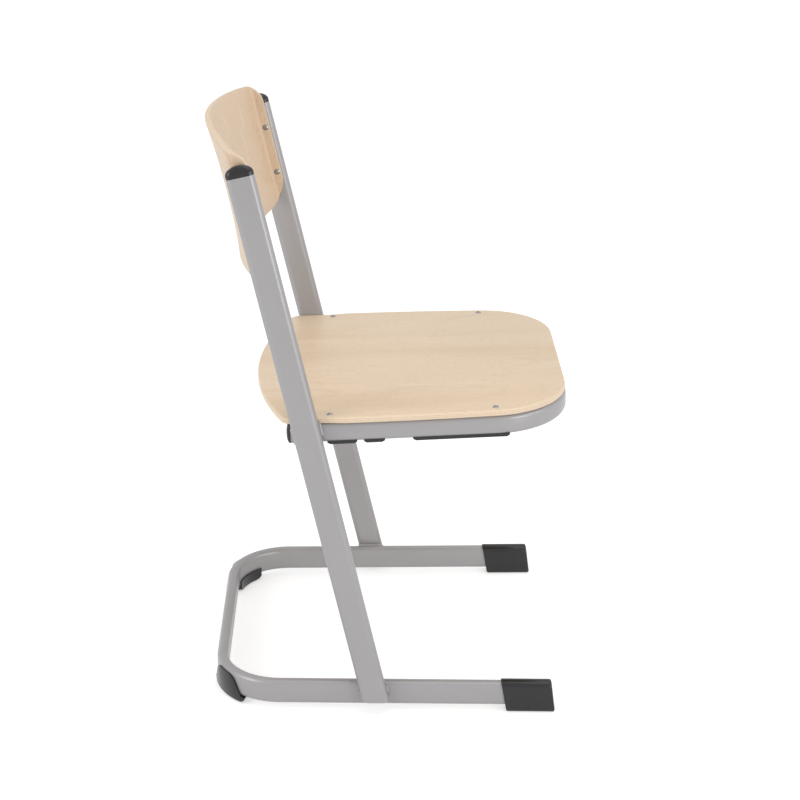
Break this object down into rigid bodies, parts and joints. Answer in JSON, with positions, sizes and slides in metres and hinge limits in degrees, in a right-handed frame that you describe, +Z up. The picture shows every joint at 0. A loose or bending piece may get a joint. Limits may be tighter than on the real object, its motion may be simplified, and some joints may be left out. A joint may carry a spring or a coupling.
{
  "type": "school chair",
  "caption": "Rigid school chair with a welded cantilever frame of flat-oval steel tube, a riveted beech plywood seat and a curved beech backrest.",
  "frame": {"origin": "on the floor, at the middle of the chair's width and depth", "axes": "+Z up, -Y the way the sitter faces, +X towards the sitter's left"},
  "size_m": [0.4776, 0.5082, 0.8274],
  "materials": {
    "steel": "satin silver-grey powder coat",
    "beech": "clear satin lacquer",
    "rivet": "satin",
    "black": "fine satin, moulded"
  },
  "bodies": {
    "root": {"base_frame": "steel", "upright_left": "steel", "upright_right": "steel", "seat_frame": "steel", "foot_weld_left": "steel", "foot_weld_right": "steel", "rail_weld_left": "steel", "rail_weld_right": "steel", "seat_plate": "beech", "back_plate": "beech", "seat_rivets": "rivet", "back_rivets": "rivet", "upright_cap_left": "black", "upright_cap_right": "black", "rail_plug_left": "black", "rail_plug_right": "black", "front_sleeve_left": "black", "front_sleeve_right": "black", "rear_glide_left": "black", "rear_glide_right": "black", "rear_pad_left": "black", "rear_pad_right": "black", "middle_pad_left": "black", "middle_pad_right": "black", "front_pad_left": "black", "front_pad_right": "black"}
  },
  "joints": []
}
